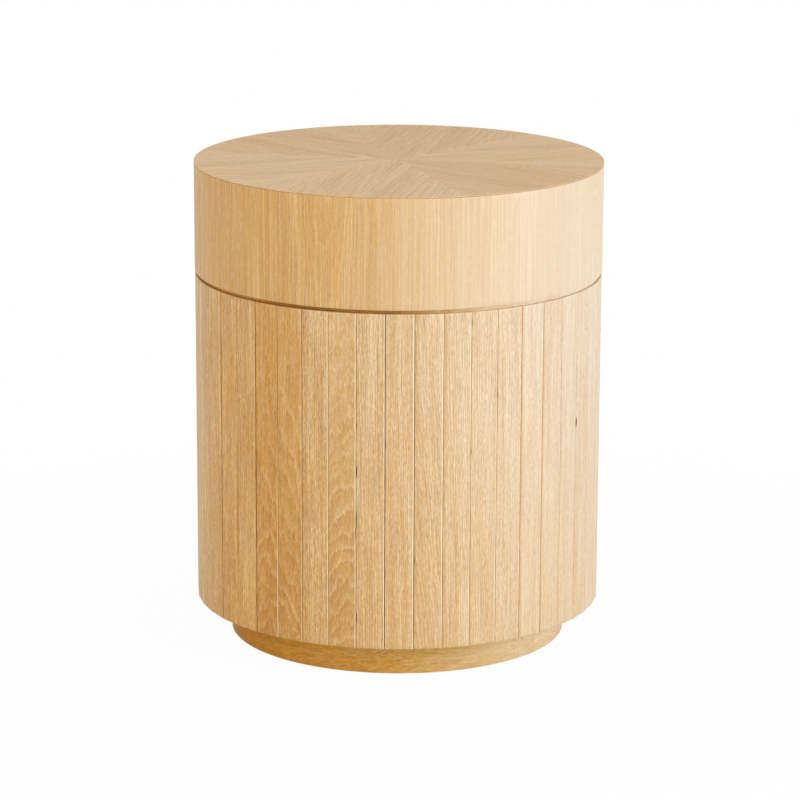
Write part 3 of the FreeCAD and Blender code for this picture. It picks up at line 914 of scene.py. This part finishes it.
# %% [markdown]
# ## Veneered hoops
# The cap's apron and the plinth are bent hoops with a millimetre of oak veneer round them. Each veneer is
# one strip, so it is modelled as a thin tube: a cylinder without ends is given its thickness inwards, its
# two outer rims are rubbed round, and its upright edges are divided into short steps. The apron's grain
# stands upright, and the plinth's runs round it. Their tones change slowly on the way round, so they are
# given at stations, in degrees from the front of the table, and worked out between those.

# %% Bend the veneers
RIM_ARRIS = 0.6 * MM
HOOP_STEPS = 240
HEIGHT_STEP = 7.5 * MM


def bend_veneer(name, outer, bottom, top, material):
    """A hoop of veneer with rounded outer rims."""
    clear_bench()
    bpy.ops.mesh.primitive_cylinder_add(vertices=HOOP_STEPS, radius=outer, depth=top - bottom,
                                        end_fill_type="NOTHING", location=(0, 0, (top + bottom) / 2))
    thicken = bpy.context.object.modifiers.new("veneer", "SOLIDIFY")
    thicken.thickness = veneer_thickness
    thicken.offset = -1
    bpy.ops.object.modifier_apply(modifier=thicken.name)
    bpy.ops.object.transform_apply(location=True)
    start_editing()
    inner = outer - veneer_thickness / 2
    pick("EDGE", lambda edge: not upright(edge) and nearest_the_axis(edge) > inner)
    round_off(RIM_ARRIS, 2)
    pick("EDGE", lambda edge: upright(edge) and edge.calc_length() > HEIGHT_STEP)
    bpy.ops.mesh.subdivide(number_cuts=round((top - bottom) / HEIGHT_STEP) - 1)
    return off_the_bench(name, material)


def at_station(stations, point):
    """The value at a point's turn from the front, between the stations given in degrees."""
    degrees = math.degrees(turn_of(point)) % 360
    turns = sorted(stations)
    after = next((turn for turn in turns if turn > degrees), turns[0] + 360)
    before = max((turn for turn in turns if turn <= degrees), default=turns[-1] - 360)
    share = (degrees - before) / (after - before)
    return (1 - share) * stations[before % 360] + share * stations[after % 360]


JOINT_GRIME = 1.8
RIM_WEAR = {0: -0.4, 20: -0.75, 90: -0.8, 180: -0.4, 240: -0.5, 330: -0.45}


def rim_mark(point, face):
    """The top rim is darkened a little by hands, and more in the fine joint below the leaves."""
    on_rim = 0.1 < face.normal.z < 0.99 and point.z > leaf_bottom - 2 * RIM_ARRIS
    in_joint = face.center.z < leaf_bottom
    return (*NO_LINE, at_station(RIM_WEAR, point) * (JOINT_GRIME if in_joint else 1.0) if on_rim else 0.0)


APRON_CROWN = math.radians(-20)
# Painted light and shade: the apron is paler and cooler on the right, where the big light falls, and deeper
# and warmer on the left.
APRON_TONES = {0: 0.21, 8: 0.29, 24: 0.30, 60: 0.46, 90: 0.42, 180: 0.1, 285: 0.05, 300: -0.02, 345: -0.05}
APRON_WARMTH = {0: 0.30, 15: 0.13, 40: 0.04, 90: 0.0, 180: 0.15, 280: 0.2, 300: 0.56, 325: 0.53, 345: 0.50}
APRON_LIVELINESS = {0: 0.40, 8: 0.30, 30: 0.26, 60: 0.21, 180: 0.55, 300: 0.55, 330: 0.74, 345: 0.70}
APRON_DEPTH = 0.055
APRON_LEAN = -0.04
APRON_FADING = 0.05


def apron_sawn(point, face):
    """The apron's strip was sliced with two crowns, one at the front left and one opposite it."""
    turn = turn_of(point) - APRON_CROWN
    turn = (turn + math.pi / 2) % math.tau - math.pi / 2
    if turn > math.pi / 2:
        turn = math.pi - turn
    return (turn * cap_radius, APRON_DEPTH + APRON_LEAN * (point.z - apron_bottom), point.z)


def apron_board(point):
    """The apron is a little paler just above the groove, where hands don't reach."""
    height_share = (point.z - apron_bottom) / (apron_top - apron_bottom)
    return (at_station(APRON_TONES, point) + APRON_FADING * (0.5 - height_share),
            at_station(APRON_WARMTH, point), 0.0, at_station(APRON_LIVELINESS, point), 1.0)


PLINTH_SEAM = math.radians(170)
PLINTH_DEPTH = 0.035
PLINTH_WANDER = 0.01
EVEN_HEIGHT = 0.4
# Painted light and shade: the plinth is paler on the right, where the big light reaches under the drum, and
# darker and warmer on the left, in the drum's shade.
PLINTH_TONES = {0: 0.22, 20: 0.44, 40: 0.71, 60: 0.79, 90: 0.4, 180: 0.0, 270: -0.4, 300: -0.33,
                320: -0.19, 340: 0.10}
PLINTH_WARMTH = {0: 0.88, 20: 0.66, 40: 0.48, 60: 0.40, 180: 0.5, 300: 1.08, 340: 0.96}
PLINTH_LIVELINESS = {0: 0.7, 30: 0.45, 90: 0.5, 180: 0.8, 300: 0.9}
# Painted light: the plinth's top is paler and warmer, a painted warm bounce that lifts the shade under the
# drum's overhang.
PALER_TOP = 0.42
WARMER_TOP = 0.15


def plinth_sawn(point, face):
    """The plinth's strip runs once round, with its butt seam at the back."""
    turn = (turn_of(point) - PLINTH_SEAM) % math.tau
    middle = face.center
    if abs(turn - (turn_of(middle) - PLINTH_SEAM) % math.tau) > math.pi:
        turn -= math.tau * (1 if turn > math.pi else -1)
    return (point.z - plinth_top / 3, PLINTH_DEPTH + PLINTH_WANDER * math.sin(turn * 2), turn * plinth_radius)


def plinth_board(point):
    """The plinth is a little paler and warmer towards its top, a painted warm bounce light under the drum's
    overhang.
    """
    higher = point.z / plinth_top - EVEN_HEIGHT
    return (at_station(PLINTH_TONES, point) + PALER_TOP * higher,
            at_station(PLINTH_WARMTH, point) + WARMER_TOP * higher, 0.0,
            at_station(PLINTH_LIVELINESS, point), 1.0)


apron = bend_veneer("apron_band", cap_radius, apron_bottom, apron_top, apron_oak)
remember_log(apron, apron_sawn, apron_board, rim_mark)
put_in_place(apron, "apron_veneer", "apron_oak")
plinth = bend_veneer("plinth_band", plinth_radius, plinth_bottom, plinth_top, plinth_oak)
remember_log(plinth, plinth_sawn, plinth_board)
put_in_place(plinth, "plinth_veneer", "plinth_oak")
print("two hoops of", HOOP_STEPS, "steps")

# %% [markdown]
# ## The sunburst top
# Six leaves of veneer, each a sixth of the circle with its grain along its own middle line, meet at the
# centre. One leaf is cut out of a disc by two straight cuts, as with a veneer saw, and then turned five
# times. Neighbours are sliced from the same flitch, so every other leaf is turned over: their figures mirror
# each other at the seams. Each leaf is given its own tone, a painted sheen that makes the leaves look lighter
# and darker by turns.

# %% Cut the sunburst leaves
LEAVES = 6
LEAF_PITCH = math.tau / LEAVES
FIRST_LEAF_SEAM = math.radians(48)
LEAF_JOINT = 0.1 * MM
LEAF_DEPTH = 0.045
LEAF_LEAN = 0.01
LEAF_SIDEWAYS = 0.012
LEAF_WARMTH = 0.24
# Each leaf's tone is a painted sheen.
LEAF_TONES = [0.07, 0.08, 0.28, 0.20, 0.05, 0.24]
LEAF_LIVELINESS = [0.95, 1.3, 1.15, 1.0, 0.85, 0.95]
LEAF_SEED = 2.7
PALE_SEAMS = 0.2


def cut_leaf():
    """The leaf that points along +X, between two seams at half a leaf each side."""
    clear_bench()
    bpy.ops.mesh.primitive_circle_add(vertices=HOOP_STEPS, radius=cap_radius, fill_type="TRIFAN",
                                      location=(0, 0, leaf_bottom))
    start_editing()
    for side in (-1, 1):
        bpy.ops.mesh.select_all(action="SELECT")
        normal = Vector((-math.sin(LEAF_PITCH / 2), side * math.cos(LEAF_PITCH / 2), 0))
        bpy.ops.mesh.bisect(plane_co=-normal * LEAF_JOINT / 2 + Vector((0, 0, leaf_bottom)),
                            plane_no=normal, clear_outer=True)
    bpy.ops.mesh.select_all(action="SELECT")
    bpy.ops.mesh.extrude_region_move(TRANSFORM_OT_translate={"value": (0, 0, table_top - leaf_bottom)})
    turn_faces_out()
    near_rim = cap_radius - RIM_ARRIS
    pick("EDGE", lambda edge: nearest_the_axis(edge) > near_rim
         and min(v.co.z for v in edge.verts) > table_top - RIM_ARRIS / 2)
    round_off(RIM_ARRIS, 2)
    return off_the_bench("leaf_pattern", sunburst_oak)


def leaf_sawn(turn, turned_over):
    """How a point of a leaf that is turned so far is found in the flitch."""
    turn_back = Matrix.Rotation(-turn, 3, "Z")

    def sawn(point, face):
        flat = turn_back @ point
        return (turned_over * flat.y + LEAF_SIDEWAYS, LEAF_DEPTH + LEAF_LEAN * flat.x, flat.x)
    return sawn


def leaf_board(turn, tone, lively):
    """A leaf is darker along its middle, where the heartwood was, and paler towards its seams."""
    turn_back = Matrix.Rotation(-turn, 3, "Z")

    def board(point):
        flat = turn_back @ point
        aside = abs(math.atan2(flat.y, flat.x)) / (LEAF_PITCH / 2)
        return (tone + PALE_SEAMS * (min(aside, 1.0) - 0.5), LEAF_WARMTH, LEAF_SEED, lively, 1.0)
    return board


leaf_pattern = cut_leaf()
for number, (tone, lively) in enumerate(zip(LEAF_TONES, LEAF_LIVELINESS)):
    turn = FIRST_LEAF_SEAM + (number + 0.5) * LEAF_PITCH
    leaf = copy_of(leaf_pattern, "sunburst_leaf_%d" % (number + 1), Matrix.Rotation(turn, 4, "Z"))
    remember_log(leaf, leaf_sawn(turn, -1 if number % 2 else 1), leaf_board(turn, tone, lively),
                 rim_mark)
    put_in_place(leaf, "top_veneer", "sunburst_oak")
bpy.data.objects.remove(leaf_pattern)
print(LEAVES, "leaves with", len(leaf.data.polygons), "faces each")

# %% [markdown]
# ## The shadow groove
# Between cap and drum lies a disc whose edge stands four millimetres back, and that oak edge is what the
# groove shows. It is a plain turned disc, with its two rims rubbed round. The edge is divided into three
# bands, because painted shade lies along the groove's two edges, under the cap and above the staves, and less
# between them. The edge is also painted paler on the right, where the big light falls, and darker at the
# front and the left.

# %% Turn the groove disc
GROOVE_LINE = 1.3 * MM
GROOVE_ARRIS = 0.2 * MM
GROOVE_LIVELINESS = 0.6
# Painted light and shade on the groove's edge: its tone, warmth and darkening by turn round the table.
GROOVE_LIGHT_TONES = {0: -0.5, 12: 0.0, 24: 0.6, 60: 0.7, 90: 0.5, 180: -0.3, 270: -0.6}
GROOVE_WARMTH = {0: 0.9, 20: 0.2, 60: 0.0, 120: 0.4, 180: 0.7, 270: 0.5, 330: 0.9}
GROOVE_MIDDLE_SHADE = {0: 0.8, 90: 0.8, 240: 0.3, 290: 0.15, 315: 0.4, 330: 0.9}
GROOVE_SHADE_BY_TURN = {0: 0.6, 10: 0.3, 20: 0.1, 60: 0.0, 120: 0.2, 240: 0.5, 275: 1.0, 320: 0.85, 345: 0.8}


def groove_painted_shade(point, face):
    """Painted shade in the groove, most of it along its two edges and at the front and the left."""
    middle = face.center.z
    at_edge = min(middle - groove_bottom, groove_top - middle) < GROOVE_LINE
    share = 1.0 if at_edge else at_station(GROOVE_MIDDLE_SHADE, point)
    return (*NO_LINE, -share * at_station(GROOVE_SHADE_BY_TURN, point))


def groove_board(point):
    """The groove's edge is painted paler on the right, where the big light falls, and darker and warmer at
    the front and the left.
    """
    return (at_station(GROOVE_LIGHT_TONES, point), at_station(GROOVE_WARMTH, point), 0.0, GROOVE_LIVELINESS, 1.0)


clear_bench()
bpy.ops.mesh.primitive_cylinder_add(vertices=HOOP_STEPS, radius=groove_radius,
                                    depth=groove_top - groove_bottom, end_fill_type="NGON",
                                    location=(0, 0, (groove_top + groove_bottom) / 2))
bpy.ops.object.transform_apply(location=True)
start_editing()
for level in (groove_bottom + GROOVE_LINE, groove_top - GROOVE_LINE):
    bpy.ops.mesh.select_all(action="SELECT")
    bpy.ops.mesh.bisect(plane_co=(0, 0, level), plane_no=(0, 0, 1))
pick("FACE", lambda face: abs(face.normal.z) > 0.9)
bpy.ops.mesh.inset(thickness=groove_radius / 3)
pick("EDGE", lambda edge: not upright(edge) and nearest_the_axis(edge) > groove_radius - GROOVE_LINE)
round_off(GROOVE_ARRIS, 2)
groove_oak = oak_finish("groove_oak", dark_pores=0.3, lime=0.1, tint=SHADED_TINT, grime_and_shade_colour=GROOVE_SHADE_BROWN,
                        gloss=0.05)
groove_disc = off_the_bench("groove_disc", groove_oak)
remember_log(groove_disc, plinth_sawn, groove_board, groove_painted_shade)
put_in_place(groove_disc, "spacer_disc", "groove_oak")
print("groove disc", round(groove_radius / MM, 1), "mm in radius")

# %% [markdown]
# ## Screws and glides
# From below one sees the six countersunk screws that hold the plinth to the drum, and the nylon glides that
# are nailed into the plinth's edge. A screw is turned out of a disc: it is drawn up to a cone, a shank and
# a point, and a cross recess is pressed into its head. A glide is a thick disc with a rounded face and a
# nail. Of each kind one is modelled, and the others are copies of it.

# %% Turn the screws and the glides
ROUND_STEPS = 48
PART_STEP = 30
SCREW_HEAD_RADIUS = 4.0 * MM
SCREW_HEAD_HEIGHT = 3.0 * MM
SCREW_SHANK_RADIUS = 2.0 * MM
SCREW_TIP = 5.0 * MM
GLIDE_RADIUS = 6.0 * MM
GLIDE_EDGE = 0.5 * MM
SCREW_POINT = 0.05
NAIL_POINT = 0.2
RECESS_WIDTH = 0.9 * MM
RECESS_LENGTH = 4.4 * MM
RECESS_DEPTH = 1.6 * MM
GLIDE_THICKNESS = 3.0 * MM
NAIL_RADIUS = 1.1 * MM


def places(node):
    """The middles of the small parts of a node, which stand in a ring."""
    parts = {}
    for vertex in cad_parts[node].data.vertices:
        key = round(math.degrees(turn_of(vertex.co)) / PART_STEP)
        parts.setdefault(key, []).append(vertex.co)
    middles = []
    for key in sorted(parts):
        low = [min(corner[axis] for corner in parts[key]) for axis in range(2)]
        high = [max(corner[axis] for corner in parts[key]) for axis in range(2)]
        middles.append(Vector(((low[0] + high[0]) / 2, (low[1] + high[1]) / 2, 0)))
    return middles


def start_disc(disc_radius, height):
    """A flat disc in edit mode, all selected."""
    clear_bench()
    bpy.ops.mesh.primitive_circle_add(vertices=ROUND_STEPS, radius=disc_radius, fill_type="NGON",
                                      location=(0, 0, height))
    bpy.ops.object.transform_apply(location=True)
    start_editing()


def draw_up(height, scale):
    """Extrudes the selected face upwards and makes its end smaller."""
    bpy.ops.mesh.extrude_region_move(TRANSFORM_OT_translate={"value": (0, 0, height)})
    bpy.ops.transform.resize(value=(scale, scale, 1))


def turn_screw(bottom, top):
    """A countersunk screw with a cross recess in its head, which looks down."""
    start_disc(SCREW_HEAD_RADIUS, bottom)
    draw_up(SCREW_HEAD_HEIGHT, SCREW_SHANK_RADIUS / SCREW_HEAD_RADIUS)
    draw_up(top - bottom - SCREW_HEAD_HEIGHT - SCREW_TIP, 1)
    draw_up(SCREW_TIP, SCREW_POINT)
    turn_faces_out()
    screw = off_the_bench("screw_pattern", screw_steel)
    clear_bench()
    bpy.ops.mesh.primitive_cube_add(size=1, location=(0, 0, 0))
    start_editing()
    bpy.ops.transform.resize(value=(RECESS_WIDTH, RECESS_LENGTH, 2 * RECESS_DEPTH))
    pick("VERT", lambda corner: corner.co.z > 0)
    bpy.ops.transform.resize(value=(0.5, 0.35, 1))
    bpy.ops.object.mode_set(mode="OBJECT")
    punch = bpy.context.object
    punch.location.z = bottom
    for turn in (0.0, math.pi / 2):
        punch.rotation_euler.z = turn
        bpy.context.view_layer.update()
        press = screw.modifiers.new("recess", "BOOLEAN")
        press.object = punch
        press.operation = "DIFFERENCE"
        bpy.context.view_layer.objects.active = screw
        bpy.ops.object.modifier_apply(modifier=press.name)
    bpy.data.objects.remove(punch)
    return screw


def turn_glide(top):
    """A round glide with a rounded lower edge and its nail."""
    start_disc(GLIDE_RADIUS, 0)
    draw_up(GLIDE_THICKNESS, 1)
    bpy.ops.mesh.inset(thickness=GLIDE_RADIUS - NAIL_RADIUS)
    draw_up(top - GLIDE_THICKNESS - GLIDE_EDGE, 1)
    draw_up(GLIDE_EDGE, NAIL_POINT)
    turn_faces_out()
    pick("EDGE", lambda edge: max(corner.co.z for corner in edge.verts) < GLIDE_EDGE)
    round_off(GLIDE_EDGE, 4)
    return off_the_bench("glide_pattern", glide_nylon)


# %% [markdown]
# The steel of the screws is zinc plated, with a faint mottle of grey, straw and blue. The nylon of the
# glides is off-white and scuffed where it has been pushed over floors.

# %% Finish and place them
def mottled(name, first, second, size, roughness, metallic=0.0):
    """A finish that wanders between two colours in patches of a size, with a finer mottle of its gloss."""
    material, tree, shader = new_finish(name)
    place = object_place(tree)
    patches = add_node(tree, "TexNoise", {"Vector": place, "Scale": 1 / size, "Detail": 4.0}).outputs[0]
    patches = ramp(tree, patches, [(0.3, 0.0), (0.7, 1.0)])
    tree.links.new(blend(tree, patches, first, second), shader.inputs["Base Color"])
    fine = add_node(tree, "TexNoise", {"Vector": place, "Scale": 6 / size, "Detail": 2.0}).outputs[0]
    tree.links.new(maths(tree, "MULTIPLY_ADD", fine, 0.3, roughness), shader.inputs["Roughness"])
    shader.inputs["Metallic"].default_value = metallic
    return material


screw_steel = mottled("screw_steel", (0.62, 0.60, 0.55, 1.0), (0.46, 0.47, 0.50, 1.0), 1.5 * MM, 0.25, 1.0)
glide_nylon = mottled("glide_nylon", (0.78, 0.76, 0.70, 1.0), (0.55, 0.51, 0.44, 1.0), 3 * MM, 0.4)
screw_pattern = turn_screw(*bottom_and_top("plinth_screws"))
glide_pattern = turn_glide(bottom_and_top("glides")[1])
for pattern, node, slot in ((screw_pattern, "plinth_screws", "screw_steel"),
                            (glide_pattern, "glides", "glide_nylon")):
    for number, place in enumerate(places(node), 1):
        part = copy_of(pattern, "%s_%d" % (node, number), Matrix.Translation(place))
        put_in_place(part, node, slot)
    print(number, node, "with", len(part.data.polygons), "faces each")
    bpy.data.objects.remove(pattern)

# %% [markdown]
# ## Carried-over pieces
# The hoops, boards, blocks and cap screws inside the table already have their right shapes, so they only
# get their finishes. The hoops are bent plywood: thin sheets glued round one another, so that the ply at a
# point follows from its distance from the axis, and the grain of every other ply runs round the hoop. The
# boards are fibreboard, a felt of fine fibres, and the blocks are plain hardwood with the grain along them.

# %% Finish the inner pieces
PLY = 1.5 * MM
PLY_PALE = (0.66, 0.52, 0.36, 1.0)
PLY_DARK = (0.50, 0.36, 0.22, 1.0)
PLY_GLUE = (0.26, 0.17, 0.10, 1.0)
FIBRE = (0.60, 0.47, 0.33, 1.0)
FIBRE_DARK = (0.43, 0.32, 0.21, 1.0)
BLOCK_PALE = (0.70, 0.55, 0.37, 1.0)
BLOCK_DARK = (0.56, 0.41, 0.25, 1.0)


def round_the_axis(tree):
    """The distance from the axis, and a place with the way round the axis as its first number."""
    place = object_place(tree)
    x, y, z = split_xyz(tree, place)
    away = maths(tree, "SQRT", weighted(tree, (x, x), (y, y)))
    way = maths(tree, "MULTIPLY", maths(tree, "ARCTAN2", y, x), plinth_radius)
    return away, join_xyz(tree, way, away, z)


bent_ply, tree, shader = new_finish("bent_ply")
away, place = round_the_axis(tree)
plies = maths(tree, "DIVIDE", away, PLY)
sheet = maths(tree, "FRACT", plies)
crossed = maths(tree, "MODULO", maths(tree, "FLOOR", plies), 2.0)
upright_grain = sized_noise(tree, place, (1.0 * MM, 4 * MM, 60 * MM))
round_grain = sized_noise(tree, place, (60 * MM, 4 * MM, 1.0 * MM))
grain = add_node(tree, "Mix", {0: crossed, 2: upright_grain, 3: round_grain}).outputs[0]
grain = weighted(tree, (1.1, grain), (0.25, crossed))
colour = blend(tree, ramp(tree, grain, [(0.35, 0.0), (0.95, 1.0)]), PLY_PALE, PLY_DARK)
glue = ramp(tree, sheet, [(0.0, 1.0), (0.10, 0.0), (0.92, 0.0), (1.0, 1.0)])
colour = blend(tree, maths(tree, "MULTIPLY", glue, 0.7), colour, PLY_GLUE)
tree.links.new(colour, shader.inputs["Base Color"])
shader.inputs["Roughness"].default_value = 0.75

core_board, tree, shader = new_finish("core_board")
place = object_place(tree)
felt = sized_noise(tree, place, (1.2 * MM, 0.5 * MM, 0.4 * MM))
cross_felt = sized_noise(tree, place, (0.5 * MM, 1.2 * MM, 0.4 * MM))
press = sized_noise(tree, place, (40 * MM, 40 * MM, 6 * MM))
felted = weighted(tree, (0.9, felt), (0.9, cross_felt), (0.7, press))
felted = ramp(tree, maths(tree, "SUBTRACT", felted, 0.5), [(0.35, 0.0), (1.0, 1.0)])
tree.links.new(blend(tree, felted, FIBRE, FIBRE_DARK), shader.inputs["Base Color"])
shader.inputs["Roughness"].default_value = 0.8

block_wood, tree, shader = new_finish("block_wood")
place = round_the_axis(tree)[1]
grain = sized_noise(tree, place, (40 * MM, 1.5 * MM, 1.0 * MM))
tree.links.new(blend(tree, ramp(tree, grain, [(0.3, 0.0), (0.75, 1.0)]), BLOCK_PALE, BLOCK_DARK),
               shader.inputs["Base Color"])
shader.inputs["Roughness"].default_value = 0.7

INNER_FINISHES = {
    core_board: ("top_panel", "cap_floor", "drum_top_panel", "drum_base_panel"),
    bent_ply: ("apron_hoop", "plinth_hoop"),
    block_wood: ("plinth_blocks",),
    screw_steel: ("cap_screws",),
}
for finish, nodes in INNER_FINISHES.items():
    for node in nodes:
        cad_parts[node].data.materials.clear()
        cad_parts[node].data.materials.append(finish)
print(len(INNER_FINISHES), "inner finishes")

# %% Update the scene
bpy.context.view_layer.update()
